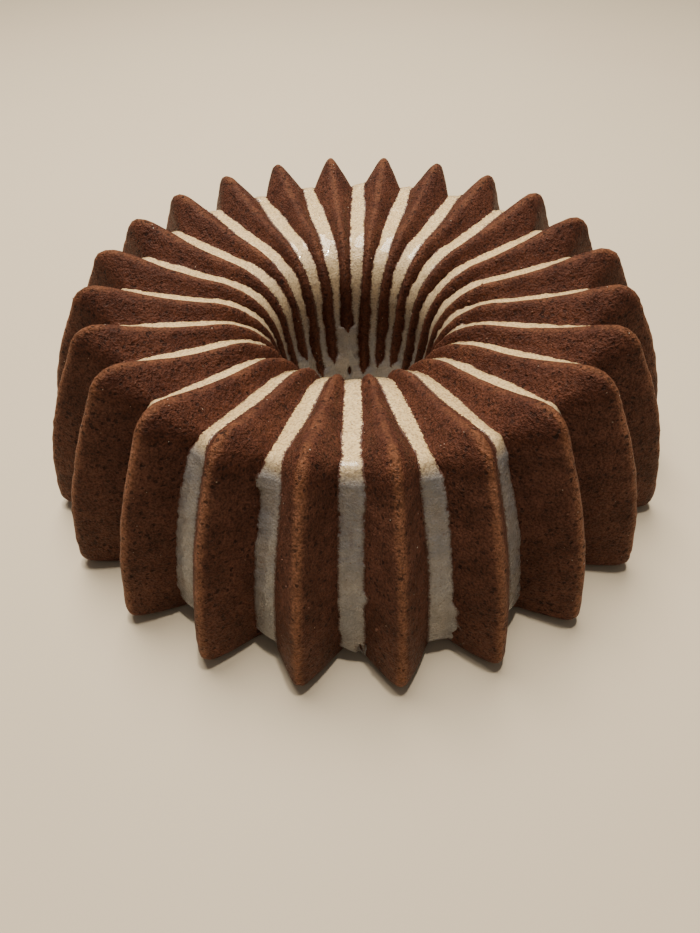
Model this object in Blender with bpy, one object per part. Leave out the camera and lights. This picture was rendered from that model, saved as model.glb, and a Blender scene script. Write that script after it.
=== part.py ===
"""A fluted ring cake, baked in a pan of sharp upright fins and turned out upside down.

The cake is one piece. It stands on the flat face that was the open side of the pan, and a tapered
hole runs through its middle. Two outlines give its form: one down the crest of a fin and one down
the groove between two fins. The surface between them is a loft, repeated all the way round.
"""

import math

import bpy

MM = 0.001

# Driving sizes. Radii are measured from the cake's axis, and heights from the face it stands on.
FIN_COUNT = 24
CREST_FOOT_RADIUS = 24.7 * MM
GROOVE_FOOT_RADIUS = 27.8 * MM

# Corners of the two outlines, as (radius, height, rounding), from the hole out to the base.
CREST_CORNERS = {
    "hole_lip": (33.2 * MM, 61.6 * MM, 27.0 * MM),
    "top_dip": (71.8 * MM, 67.3 * MM, 140.0 * MM),
    "shoulder": (96.4 * MM, 77.6 * MM, 9.2 * MM),
    "wall_bulge": (120.7 * MM, 35.4 * MM, 150.0 * MM),
    "base": (126.7 * MM, 0.0, 5.0 * MM),
}
GROOVE_CORNERS = {
    "hole_lip": (35.8 * MM, 57.6 * MM, 26.0 * MM),
    "top_dip": (63.4 * MM, 60.0 * MM, 140.0 * MM),
    "shoulder": (86.1 * MM, 64.0 * MM, 2.8 * MM),
    "wall_bulge": (106.9 * MM, 26.0 * MM, 110.0 * MM),
    "base": (110.5 * MM, 0.0, 2.5 * MM),
}
ARC_STEPS = {"hole_lip": 4, "top_dip": 2, "shoulder": 5, "wall_bulge": 4, "base": 2}

# Across half a fin, from the middle of the groove (0) to the crest (1): how far round the half
# fin each line of the surface lies, and its share of the way from the groove outline to the crest.
HALF_FIN = ((0.0, 0.0), (0.16, 0.04), (0.84, 0.88), (0.94, 0.985), (1.0, 1.0))

SHARP_EDGE_DEGREES = 50.0
CRUST_COLOR = (0.105, 0.030, 0.013, 1.0)
CRUST_ROUGHNESS = 0.62


def clear_scene():
    """Removes what the file holds, so that the cake is alone in it."""
    for obj in list(bpy.data.objects):
        bpy.data.objects.remove(obj, do_unlink=True)


def rounded_corner(before, corner, after, rounding, steps):
    """Points of the arc of that radius which touches both lines that meet at the corner."""
    to_before = math.atan2(before[1] - corner[1], before[0] - corner[0])
    to_after = math.atan2(after[1] - corner[1], after[0] - corner[0])
    half_opening = ((to_after - to_before + math.pi) % (2 * math.pi) - math.pi) / 2
    towards_centre = to_before + half_opening
    centre_distance = rounding / abs(math.sin(half_opening))
    centre = (
        corner[0] + centre_distance * math.cos(towards_centre),
        corner[1] + centre_distance * math.sin(towards_centre),
    )
    outwards = towards_centre + math.pi
    half_sweep = math.copysign(math.pi / 2 - abs(half_opening), half_opening)
    points = []
    for step in range(steps + 1):
        angle = outwards + half_sweep - 2 * half_sweep * step / steps
        points.append((centre[0] + rounding * math.cos(angle), centre[1] + rounding * math.sin(angle)))
    return points


def outline(foot_radius, corners):
    """Radius and height down one line of the cake, from the foot of the hole to the outer base."""
    foot = (foot_radius, 0.0)
    stops = [foot] + [corner[:2] for corner in corners.values()] + [foot]
    points = [foot]
    for index, (name, (_, _, rounding)) in enumerate(corners.items()):
        before, corner, after = stops[index : index + 3]
        points += rounded_corner(before, corner, after, rounding, ARC_STEPS[name])
    return points


def lines_round_the_cake():
    """(angle, share of the crest outline) of each line of the surface, once round the cake."""
    half_pitch = math.pi / FIN_COUNT
    rising = [(around * half_pitch, share) for around, share in HALF_FIN]
    falling = [(2 * half_pitch - angle, share) for angle, share in reversed(rising[1:-1])]
    first_groove = -math.pi / 2
    return [
        (first_groove + 2 * half_pitch * fin + angle, share)
        for fin in range(FIN_COUNT)
        for angle, share in rising + falling
    ]


def cake_mesh():
    """The closed surface of the cake, a loft between the groove outline and the crest outline."""
    groove = outline(GROOVE_FOOT_RADIUS, GROOVE_CORNERS)
    crest = outline(CREST_FOOT_RADIUS, CREST_CORNERS)
    lines = lines_round_the_cake()
    vertices = []
    for angle, share in lines:
        for (groove_radius, groove_height), (crest_radius, crest_height) in zip(groove, crest):
            radius = groove_radius + share * (crest_radius - groove_radius)
            height = groove_height + share * (crest_height - groove_height)
            vertices.append((radius * math.cos(angle), radius * math.sin(angle), height))
    along = len(groove)
    faces = []
    for line in range(len(lines)):
        here = line * along
        beside = (line + 1) % len(lines) * along
        for point in range(along):
            after = (point + 1) % along
            faces.append((here + point, here + after, beside + after, beside + point))
    mesh = bpy.data.meshes.new("cake")
    mesh.from_pydata(vertices, [], faces)
    mesh.validate()
    return mesh


def crust_material():
    """Brown baked crust."""
    material = bpy.data.materials.new("crust")
    material.use_nodes = True
    shader = material.node_tree.nodes["Principled BSDF"]
    shader.inputs["Base Color"].default_value = CRUST_COLOR
    shader.inputs["Roughness"].default_value = CRUST_ROUGHNESS
    shader.inputs["Metallic"].default_value = 0.0
    return material


def main():
    """Builds the cake in a collection of its own."""
    clear_scene()
    collection = bpy.data.collections.new("fluted_ring_cake")
    bpy.context.scene.collection.children.link(collection)
    cake = bpy.data.objects.new("cake", cake_mesh())
    cake.data.materials.append(crust_material())
    cake.data.shade_smooth()
    cake.data.set_sharp_from_angle(angle=math.radians(SHARP_EDGE_DEGREES))
    collection.objects.link(cake)


main()
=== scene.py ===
"""The looks of a fluted ring cake: its baked crust, the glaze in its grooves, and loose crumbs.

Every surface is worked out with numpy on a grid of two parameters. The first runs along the cake's
outline, from the foot of the hole over the top to the outer base. The second runs round the cake.
"""

import logging
import math
from dataclasses import dataclass, field
from enum import Enum
from typing import Any, Sequence

import bmesh
import bpy
import numpy as np
from mathutils import Matrix, Vector

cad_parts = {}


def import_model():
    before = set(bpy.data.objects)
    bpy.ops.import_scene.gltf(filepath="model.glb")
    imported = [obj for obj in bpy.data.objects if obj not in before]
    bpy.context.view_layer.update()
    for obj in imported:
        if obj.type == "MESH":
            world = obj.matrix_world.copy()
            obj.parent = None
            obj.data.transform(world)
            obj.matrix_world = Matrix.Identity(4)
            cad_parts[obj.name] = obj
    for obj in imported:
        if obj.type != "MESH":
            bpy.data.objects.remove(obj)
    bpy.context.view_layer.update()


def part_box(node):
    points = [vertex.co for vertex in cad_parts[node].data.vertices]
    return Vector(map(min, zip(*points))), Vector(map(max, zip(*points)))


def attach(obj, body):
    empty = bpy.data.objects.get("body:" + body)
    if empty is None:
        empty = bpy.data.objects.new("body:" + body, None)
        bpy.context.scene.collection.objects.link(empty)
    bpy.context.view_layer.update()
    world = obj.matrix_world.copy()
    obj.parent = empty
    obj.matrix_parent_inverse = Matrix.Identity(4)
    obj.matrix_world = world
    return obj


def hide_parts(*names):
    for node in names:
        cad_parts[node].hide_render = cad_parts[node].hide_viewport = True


LOG = logging.getLogger("cake")
MM = 0.001
BODY = "root"
CAKE_NODE = "cake"
FIN_COUNT = 24
HALF_PITCH = math.pi / FIN_COUNT
FAR = 30.0 * MM
FRONT = -math.pi / 2

Array = np.ndarray


# ----------------------------------------------------------------------------- numbers and noise


def smooth_step(value: Array, low: float, high: float) -> Array:
    """Rises smoothly from 0 at low to 1 at high: with t between them, 3 t squared less 2 t cubed."""
    t = np.clip((value - low) / (high - low), 0.0, 1.0)
    return t * t * (3.0 - 2.0 * t)


def smooth_line(value: Array, low: Array, high: Array) -> Array:
    """Rises evenly from 0 at low to 1 at high, and holds outside."""
    return np.clip((value - low) / (high - low), 0.0, 1.0)


def bump(value: Array, centre: float, width: float) -> Array:
    """A bell of height 1: e to the minus square of the distance from the centre over the width."""
    return np.exp(-(((value - centre) / width) ** 2))


def corner_value(x: Array, y: Array, z: Array, seed: int) -> Array:
    """A fixed random number from -1 to 1 for each whole-number corner of a cubic lattice.

    The three numbers and the seed are each multiplied by a large odd number, mixed by exclusive or,
    and scrambled twice by multiplying and shifting.
    """
    mixed = (
        x.astype(np.uint32) * np.uint32(374761393)
        ^ y.astype(np.uint32) * np.uint32(668265263)
        ^ z.astype(np.uint32) * np.uint32(2147483647)
        ^ np.uint32(seed * 1274126177 % 2**32)
    )
    mixed = (mixed ^ (mixed >> np.uint32(13))) * np.uint32(1274126177)
    mixed = (mixed ^ (mixed >> np.uint32(16))) * np.uint32(2246822519)
    return (mixed ^ (mixed >> np.uint32(15))).astype(np.float64) / 2**31 - 1.0


def lattice_noise(points: Array, spacing: float, seed: int) -> Array:
    """Soft random relief from -1 to 1.

    Each lattice cube blends the values of its eight corners with a smooth step along each axis.

    Args:
        points: positions, with the three coordinates last.
        spacing: the distance between lattice corners, about the size of one lump.
        seed: which random relief.

    Returns:
        One number for each point.
    """
    scaled = points / spacing + 1000.0
    cell = np.floor(scaled)
    inside = scaled - cell
    weight = inside * inside * (3.0 - 2.0 * inside)
    cell = cell.astype(np.int64)
    total = np.zeros(points.shape[:-1])
    for corner in range(8):
        step = np.array([corner & 1, corner >> 1 & 1, corner >> 2 & 1])
        share = np.prod(np.where(step, weight, 1.0 - weight), axis=-1)
        total += share * corner_value(*np.moveaxis(cell + step, -1, 0), seed)
    return total


def layered_noise(points: Array, spacing: float, seed: int, layers: int = 3) -> Array:
    """Adds layers of lattice noise, each half the size and just over half the strength of the last."""
    total = np.zeros(points.shape[:-1])
    strength = 1.0
    for layer in range(layers):
        total += strength * lattice_noise(points, spacing / 2**layer, seed + layer)
        strength *= 0.55
    return total


# ----------------------------------------------------------------------------- meshes


def make_piece(
    name: str, points: Array, faces: Sequence, finish: "Finish", crease: float = 180.0, **values: Array
) -> bpy.types.Object:
    """Makes a smooth-shaded mesh piece that rides with the cake.

    Args:
        name: the piece's name.
        points: one row of x, y and z for each vertex.
        faces: the corners of each face, counter-clockwise seen from outside.
        finish: what the piece is made of.
        crease: the angle in degrees past which an edge is shaded sharp.
        values: named numbers for each vertex, which its material reads as attributes.

    Returns:
        The piece, at the origin.
    """
    mesh = bpy.data.meshes.new(name)
    mesh.from_pydata(points.tolist(), [], faces if isinstance(faces, list) else faces.tolist())
    for key, numbers in values.items():
        mesh.attributes.new(key, "FLOAT", "POINT").data.foreach_set("value", numbers.astype(np.float32))
    mesh.validate()
    mesh.shade_smooth()
    mesh.set_sharp_from_angle(angle=math.radians(crease))
    mesh.materials.append(finish.material())
    piece = bpy.data.objects.new(name, mesh)
    bpy.context.scene.collection.objects.link(piece)
    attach(piece, BODY)
    LOG.info("%s: %d vertices, %d faces", name, len(mesh.vertices), len(mesh.polygons))
    return piece


def surface_normals(piece: bpy.types.Object) -> Array:
    """The outward normal at each vertex of a piece."""
    normals = np.empty(3 * len(piece.data.vertices), dtype=np.float32)
    piece.data.vertex_normals.foreach_get("vector", normals)
    return normals.reshape(-1, 3).astype(np.float64)


def read_points(piece: bpy.types.Object) -> Array:
    """The place of each vertex of a piece."""
    points = np.empty(3 * len(piece.data.vertices), dtype=np.float32)
    piece.data.vertices.foreach_get("co", points)
    return points.reshape(-1, 3).astype(np.float64)


# ----------------------------------------------------------------------------- the cake's form


@dataclass(frozen=True)
class Corner:
    """A corner of an outline before it is rounded, with its sizes in metres."""

    radius: float
    height: float
    rounding: float


@dataclass(frozen=True)
class Outline:
    """One line down the cake in a plane through its axis, from the foot of the hole to the base."""

    foot_radius: float
    corners: tuple[Corner, ...]
    arc_steps: int = 24
    line_steps: int = 24

    def points(self) -> Array:
        """Radius and height along the outline: straight runs joined by arcs that touch both.

        Returns:
            Rows of radius and height, the same number for every outline with as many corners.
        """
        foot = np.array([self.foot_radius, 0.0])
        stops = [foot] + [np.array([corner.radius, corner.height]) for corner in self.corners] + [foot]
        rows = [foot[None, :]]
        for before, here, after, corner in zip(stops, stops[1:], stops[2:], self.corners):
            arc = self.arc(before, here, after, corner.rounding)
            share = np.linspace(0.0, 1.0, self.line_steps + 1)[1:, None]
            rows.append(rows[-1][-1] * (1.0 - share) + arc[0] * share)
            rows.append(arc[1:])
        return np.vstack(rows)

    def arc(self, before: Array, here: Array, after: Array, rounding: float) -> Array:
        """The arc of the given radius that touches the lines from here to before and to after.

        Its centre is on the line that halves the opening, at the radius over the sine of half of it.
        """
        to_before = math.atan2(before[1] - here[1], before[0] - here[0])
        to_after = math.atan2(after[1] - here[1], after[0] - here[0])
        half_opening = ((to_after - to_before + math.pi) % (2 * math.pi) - math.pi) / 2
        towards_centre = to_before + half_opening
        reach = rounding / abs(math.sin(half_opening))
        centre = here + reach * np.array([math.cos(towards_centre), math.sin(towards_centre)])
        half_sweep = math.copysign(math.pi / 2 - abs(half_opening), half_opening)
        turn = towards_centre + math.pi + half_sweep * np.linspace(1.0, -1.0, self.arc_steps + 1)
        return centre + rounding * np.column_stack([np.cos(turn), np.sin(turn)])


CREST = Outline(
    foot_radius=24.7 * MM,
    corners=(
        Corner(33.2 * MM, 61.6 * MM, 27.0 * MM),
        Corner(71.8 * MM, 67.3 * MM, 140.0 * MM),
        Corner(96.4 * MM, 77.6 * MM, 9.2 * MM),
        Corner(120.7 * MM, 35.4 * MM, 150.0 * MM),
        Corner(126.7 * MM, 0.0, 5.0 * MM),
    ),
)
GROOVE = Outline(
    foot_radius=27.8 * MM,
    corners=(
        Corner(35.8 * MM, 57.6 * MM, 26.0 * MM),
        Corner(63.4 * MM, 60.0 * MM, 140.0 * MM),
        Corner(86.1 * MM, 64.0 * MM, 2.8 * MM),
        Corner(106.9 * MM, 26.0 * MM, 110.0 * MM),
        Corner(110.5 * MM, 0.0, 2.5 * MM),
    ),
)


class FlutedForm:
    """The cake's surface as a function of the run along its outline and the angle round it.

    The run is the length along the groove's outline, in metres, from the foot of the hole. At each
    run a fin's flank leads from the groove's outline to the crest's outline.
    """

    def __init__(self, crest: Outline, groove: Outline, scale: float, stray: float = 0.45 * MM) -> None:
        """Works out both outlines.

        Args:
            crest: the outline down the crest of a fin.
            groove: the outline down the groove between two fins.
            scale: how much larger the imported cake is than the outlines.
            stray: how far the bake strays from the pan's form.
        """
        self.stray = stray
        self.crest_points = crest.points() * scale
        self.groove_points = groove.points() * scale
        steps = np.linalg.norm(np.diff(self.groove_points, axis=0), axis=1)
        self.runs = np.concatenate([[0.0], np.cumsum(steps)])
        self.length = float(self.runs[-1])
        per_corner = crest.line_steps + crest.arc_steps
        self.corner_runs = [
            float(self.runs[index * per_corner + crest.line_steps + crest.arc_steps // 2])
            for index in range(len(crest.corners))
        ]

    def groove(self, run: Array) -> Array:
        """Radius and height of the groove's outline at each run."""
        return np.stack([np.interp(run, self.runs, self.groove_points[:, axis]) for axis in (0, 1)], axis=-1)

    def crest(self, run: Array) -> Array:
        """Radius and height of the crest's outline at each run."""
        return np.stack([np.interp(run, self.runs, self.crest_points[:, axis]) for axis in (0, 1)], axis=-1)

    def depth(self, run: Array) -> Array:
        """Distance from the groove up to the crest at each run."""
        return np.linalg.norm(self.crest(run) - self.groove(run), axis=-1)

    def crest_rounding(self, run: Array) -> Array:
        """Share of the half pitch that a crest's rounding takes: sharp outside, soft in the hole."""
        return 0.46 - 0.27 * smooth_step(run, 0.25 * self.length, 0.62 * self.length)

    def groove_rounding(self, run: Array) -> Array:
        """Share of the half pitch that a groove's rounding takes: wide on top, narrow on the wall."""
        lip, dip, shoulder = self.corner_runs[:3]
        on_top = smooth_step(run, 0.6 * lip, dip) * (1.0 - smooth_step(run, dip, shoulder))
        return 0.42 - 0.14 * smooth_step(run, 0.25 * self.length, 0.62 * self.length) + 0.22 * on_top

    def on_wall(self, run: Array) -> Array:
        """Rises from 0 on top to 1 on the outer wall, past the shoulder."""
        shoulder = self.corner_runs[2]
        return smooth_step(run, shoulder - 2.0 * MM, shoulder + 9.0 * MM)

    def wall_run(self, height: float) -> float:
        """The run at a height of the groove's outer wall."""
        wall = self.runs > self.corner_runs[2] + 2.0 * MM
        return float(np.interp(-height, -self.groove_points[wall, 1], self.runs[wall]))

    def flank(self, across: Array, run: Array) -> Array:
        """Height up a fin's flank as a share of its depth.

        The slope climbs evenly over the groove's rounding, holds, and falls evenly over the
        crest's rounding. Its integral is two parabolas joined by a straight line.

        Args:
            across: 0 in the middle of the groove, 1 on the crest; the sign makes no difference.
            run: the run along the outline.

        Returns:
            0 in the groove and 1 on the crest.
        """
        x = np.clip(np.abs(across), 0.0, 1.0)
        low = self.groove_rounding(run)
        high = self.crest_rounding(run)
        slope = 1.0 / (1.0 - low / 2 - high / 2)
        rising = slope * x**2 / (2 * low)
        straight = slope * (x - low / 2)
        falling = 1.0 - slope * (1.0 - x) ** 2 / (2 * high)
        return np.where(x < low, rising, np.where(x < 1.0 - high, straight, falling))

    def paced_runs(self, count: int) -> Array:
        """Runs along the whole outline, closer together where it turns.

        The pace is 1 plus a bell at each corner; the runs cut its running total into equal shares.
        """
        fine = np.linspace(0.0, self.length, 2400)
        pace = 1.0 + sum(bump(fine, corner, 5.0 * MM) for corner in self.corner_runs)
        total = np.concatenate([[0.0], np.cumsum(0.5 * (pace[1:] + pace[:-1]))])
        return np.interp(np.linspace(0.0, total[-1], count), total, fine)

    def place(self, run: Array, angle: Array, share: Array) -> Array:
        """Positions of points at a share of the way from the groove's to the crest's outline."""
        low, high = self.groove(run), self.crest(run)
        point = low + share[..., None] * (high - low)
        radius = point[..., 0]
        angle = angle + self.turn(angle)
        points = np.stack([radius * np.cos(angle), radius * np.sin(angle), point[..., 1]], axis=-1)
        return points + self.sway(points)

    @staticmethod
    def turn(angle: Array) -> Array:
        """How far the fins stand round from even spacing, in radians: a sine of the angle and of its double."""
        round_front = angle - FRONT
        return np.radians(0.10 - 0.30 * np.sin(round_front) - 0.35 * np.sin(2.0 * round_front))

    def sway(self, points: Array) -> Array:
        """How far the baked cake strays from its pan's form, as a shift of each point.

        Soft noise moves points in and out from the axis, and up and down by less. Both fade out
        towards the base, on which the cake stands flat.
        """
        ring = np.maximum(np.hypot(points[..., 0], points[..., 1]), MM)
        out = self.stray * lattice_noise(points, 26.0 * MM, 13)
        up = 0.6 * self.stray * lattice_noise(points, 34.0 * MM, 14)
        above = smooth_step(points[..., 2], 0.5 * MM, 12.0 * MM)
        grounded = 0.35 + 0.65 * above
        shift = np.stack([points[..., 0] / ring * out, points[..., 1] / ring * out, up * above], axis=-1)
        shift[..., :2] *= grounded[..., None]
        return shift


@dataclass
class Cake:
    """The baked body, one closed surface round the hole."""

    form: FlutedForm
    lines_per_fin: int = 30
    steps_along: int = 132
    lump_height: float = 0.16 * MM
    lump_size: float = 5.5 * MM
    crumb_height: float = 0.23 * MM
    crumb_size: float = 2.4 * MM

    def build(self) -> bpy.types.Object:
        """Builds the cake in place of its plain solid."""
        run, across, angle = self.grid()
        share = self.form.flank(across, run)
        points = self.form.place(run, angle, share)
        points = points + self.relief(points)
        index = np.arange(run.size).reshape(run.shape)
        beside = np.roll(index, -1, axis=0)
        above = np.roll(index, -1, axis=1)
        corner = np.roll(beside, -1, axis=1)
        faces = np.stack([index, above, corner, beside], axis=-1).reshape(-1, 4)
        piece = make_piece(
            "cake_crust",
            points.reshape(-1, 3),
            faces,
            CrustFinish(),
            crease=62.0,
            # crest carries the crest band: partly worn crust, partly a painted highlight.
            crest=self.crest_wear_and_highlight(run, across).ravel(),
            # wall switches the crust from its colours on top, painted darker as shade, to its colours on the wall,
            # painted lighter as light.
            wall=self.form.on_wall(run).ravel(),
            run=run.ravel() / MM,
        )
        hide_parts(CAKE_NODE)
        return piece

    def grid(self) -> tuple[Array, Array, Array]:
        """The run, the place across the groove and the angle of each vertex.

        Returns:
            Three arrays with a row for each line round the cake.
        """
        run = self.form.paced_runs(self.steps_along)
        line = np.arange(FIN_COUNT * self.lines_per_fin)
        across = 2.0 * (line % self.lines_per_fin) / self.lines_per_fin
        across = np.where(across > 1.0, across - 2.0, across)
        angle = FRONT + line * 2 * HALF_PITCH / self.lines_per_fin
        shape = (len(line), len(run))
        return (
            np.broadcast_to(run, shape),
            np.broadcast_to(across[:, None], shape),
            np.broadcast_to(angle[:, None], shape),
        )

    def crest_wear_and_highlight(self, run: Array, across: Array) -> Array:
        """Where the crests are lighter, from 0 to 1, partly worn crust and partly a painted highlight: a bell of the
        distance from the crest, none in the hole.
        """
        beside = (1.0 - np.abs(across)) * self.form.crest(run)[..., 0] * HALF_PITCH
        lip = self.form.corner_runs[0]
        out_of_hole = smooth_step(run, 0.45 * lip, 1.25 * lip)
        to_shoulder = 0.60 + 0.40 * smooth_step(run, self.form.corner_runs[1], self.form.corner_runs[2])
        return bump(beside, 0.0, 1.9 * MM) * out_of_hole * to_shoulder

    def relief(self, points: Array) -> Array:
        """How far each vertex is moved outwards by the lumps and the crumb of the crust.

        Noise of two sizes moves each point away from the middle of the ring, fading out near the
        flat underside, so that the cake still stands on it.
        """
        ring = np.hypot(points[..., 0], points[..., 1])
        middle = 62.0 * MM
        outwards = np.stack(
            [
                points[..., 0] / ring * (ring - middle),
                points[..., 1] / ring * (ring - middle),
                points[..., 2] - 25.0 * MM,
            ],
            axis=-1,
        )
        outwards /= np.linalg.norm(outwards, axis=-1, keepdims=True)
        height = self.lump_height * lattice_noise(points, self.lump_size, 11)
        height += self.crumb_height * lattice_noise(points, self.crumb_size, 12)
        fade = smooth_step(points[..., 2], 0.2 * MM, 3.0 * MM)
        return outwards * (height * fade)[..., None]


# ----------------------------------------------------------------------------- the glaze


class Side(Enum):
    """A side of a stream, seen from outside the cake with its top up."""

    LEFT = 0
    RIGHT = 1


@dataclass(frozen=True)
class Swelling:
    """A place where a stream of glaze bulges past its edge, or draws in where the reach is below zero."""

    side: Side
    height: float
    reach: float
    length: float


@dataclass(frozen=True)
class Stream:
    """What sets one groove's stream apart from the others.

    Its outer end stands at end_height above the base. The end is cut aslant by slant: positive
    leaves the right side longer. The ragged part is how far its fingers stand out. Girth widens
    the whole stream, and thin is how much crust shows through it on the wall. The last two lengths
    are how far it lies to the right of the groove's middle on top and on the wall.
    """

    end_height: float
    slant: float = 0.0
    ragged: float = 0.6 * MM
    girth: float = 1.0
    thin: float = 0.25
    aside_top: float = 0.0
    aside_wall: float = 0.0
    swellings: tuple[Swelling, ...] = ()


@dataclass(frozen=True)
class Drip:
    """A thin tongue of glaze that ran down beside its stream, as place and half width in metres."""

    groove: int
    beside: float
    top: float
    bottom: float
    half_width: float
    thickness: float = 0.55 * MM


@dataclass(frozen=True)
class Dent:
    """A burst bubble in the glaze, placed by its run and by its angle in half pitches from the front."""

    run: float
    turn: float
    length: float
    width: float
    depth: float


@dataclass
class Glaze:
    """The glaze: streams down the grooves that join into one ring low in the hole."""

    form: FlutedForm
    streams: dict[int, Stream]
    joins: dict[int, float]
    drips: tuple[Drip, ...] = ()
    dents: tuple[Dent, ...] = ()
    steps_in_hole: int = 120
    steps_outside: int = 130
    lines_inside: int = 8
    crown: float = 0.30 * MM
    edge_height: float = 0.14 * MM
    skirt: float = 0.28 * MM
    sunk: float = 0.45 * MM
    under: float = 1.1 * MM
    foot_run: float = 0.7 * MM
    end_length: float = 3.2 * MM
    # Half width of a stream at stops: foot, hole, lip, top, before and past the shoulder, wall, base.
    half_widths: tuple[float, ...] = (
        2.0 * MM,
        1.75 * MM,
        3.1 * MM,
        3.35 * MM,
        2.65 * MM,
        3.9 * MM,
        4.15 * MM,
        4.0 * MM,
    )

    def build(self) -> bpy.types.Object:
        """Builds the glaze as closed bodies: the joined streams, then the drips beside them."""
        points, values, faces = self.stream_body(self.runs())
        for drip in self.drips:
            more, more_values, more_faces = self.drip_body(drip)
            faces += [[corner + len(points) for corner in face] for face in more_faces]
            points = np.vstack([points, more])
            values = np.vstack([values, more_values])
        # film carries the milky film: partly thin glaze, partly painted shade on the wall and in the hole.
        edge, film, bare = values.T
        return make_piece("glaze", points, faces, GlazeFinish(), edge=edge / MM, film=film, bare=bare)

    def runs(self) -> Array:
        """The run of each step of each stream: shared up to the shoulder, then on to its own end.

        Returns:
            A row for each groove.
        """
        shoulder = self.form.corner_runs[2]
        shared = np.linspace(self.foot_run, shoulder, self.steps_in_hole, endpoint=False)
        ends = np.array([self.form.wall_run(self.streams[groove].end_height) for groove in range(FIN_COUNT)])
        share = np.linspace(0.0, 1.0, self.steps_outside)
        outside = shoulder + share * (ends[:, None] - shoulder)
        return np.hstack([np.broadcast_to(shared, (FIN_COUNT, len(shared))), outside])

    def per_stream(self, key: str) -> Array:
        """One of the streams' values as a column with a row for each groove."""
        return np.array([getattr(self.streams[groove], key) for groove in range(FIN_COUNT)])[:, None]

    def half_width(self, run: Array) -> Array:
        """Width of half a stream before its edges waver, from the stops along the outline."""
        lip, dip, shoulder, wall, base = self.form.corner_runs
        stops = (0.0, 0.55 * lip, lip, dip, shoulder - 2.0 * MM, shoulder + 5.0 * MM, wall, base)
        return np.interp(run, stops, self.half_widths) * self.per_stream("girth")

    def waver(self, run: Array, side: Side) -> Array:
        """How far an edge strays from the even width: noise of three sizes and the swellings."""
        groove = np.arange(FIN_COUNT)[:, None] * 70.0 * MM + np.zeros_like(run)
        lane = np.stack([run, groove, np.full_like(run, (2 * side.value - 1) * 50.0 * MM)], axis=-1)
        stray = 0.34 * lattice_noise(lane, 11.0 * MM, 21) + 0.12 * lattice_noise(lane, 3.1 * MM, 22)
        stray = (stray + 0.22 * lattice_noise(lane, 1.5 * MM, 23)) * MM
        stray = stray * (1.9 - 0.9 * smooth_step(run, 0.5 * self.form.corner_runs[0], 1.2 * self.form.corner_runs[0]))
        for groove, stream in self.streams.items():
            for swelling in stream.swellings:
                if swelling.side is side:
                    centre = self.form.wall_run(swelling.height)
                    stray[groove] += swelling.reach * bump(run[groove], centre, swelling.length)
        return stray

    def aside(self, run: Array) -> Array:
        """How far each stream lies to the right of its groove: one shift on top, another on the wall."""
        lip, shoulder = self.form.corner_runs[0], self.form.corner_runs[2]
        out_of_hole = smooth_step(run, 0.7 * lip, 1.3 * lip)
        on_wall = smooth_step(run, shoulder, shoulder + 12.0 * MM)
        top, wall = self.per_stream("aside_top"), self.per_stream("aside_wall")
        return top * (out_of_hole - on_wall) + wall * on_wall

    def edges(self, run: Array, wavering: bool) -> tuple[Array, Array, Array]:
        """How far each stream reaches to its left and right, in metres along the crust.

        Each stream narrows to a blunt end: the width is multiplied by the cube root of one less the
        cube of the way into the end. Below a join, both streams reach just past the
        ridge between them.

        Args:
            run: the run of each step of each stream.
            wavering: whether the edges waver and swell, or stay even.

        Returns:
            Left and right reach, and whether the stream's right side is joined to its neighbour.
        """
        into_end = smooth_line(run, run[:, -1:] - self.end_length, run[:, -1:])
        blunt = np.cbrt(np.clip(1.0 - into_end**3, 0.02, 1.0))
        even = self.half_width(run)
        left = (even + self.waver(run, Side.LEFT) * wavering) * blunt
        right = (even + self.waver(run, Side.RIGHT) * wavering) * blunt
        aside = self.aside(run)
        left, right = left - aside, right + aside
        half_pitch = self.form.groove(run)[..., 0] * HALF_PITCH
        limit = half_pitch - 0.14 * MM
        joined = np.zeros(run.shape, dtype=bool)
        for ridge in range(FIN_COUNT):
            beyond = (ridge + 1) % FIN_COUNT
            join = self.joins[ridge]
            bridge = 1.0 - smooth_step(run[ridge], join - 1.2 * MM, join + 3.5 * MM)
            full = half_pitch[ridge] + 0.15 * MM
            joined[ridge] = bridge >= 1.0
            for edge, groove in ((right, ridge), (left, beyond)):
                wide = edge[groove] + (full - edge[groove]) * bridge
                edge[groove] = np.where(joined[ridge], full, np.minimum(wide, limit[groove]))
        return left, right, joined

    def level(self, reach: Array, run: Array) -> Array:
        """Height of the crust where a stream's edge lies, as a share of the fin's depth there."""
        half_pitch = self.form.groove(run)[..., 0] * HALF_PITCH
        past_ridge = np.maximum(reach - half_pitch, 0.0) / self.form.depth(run)
        return self.form.flank(reach / half_pitch, run) + past_ridge

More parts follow.
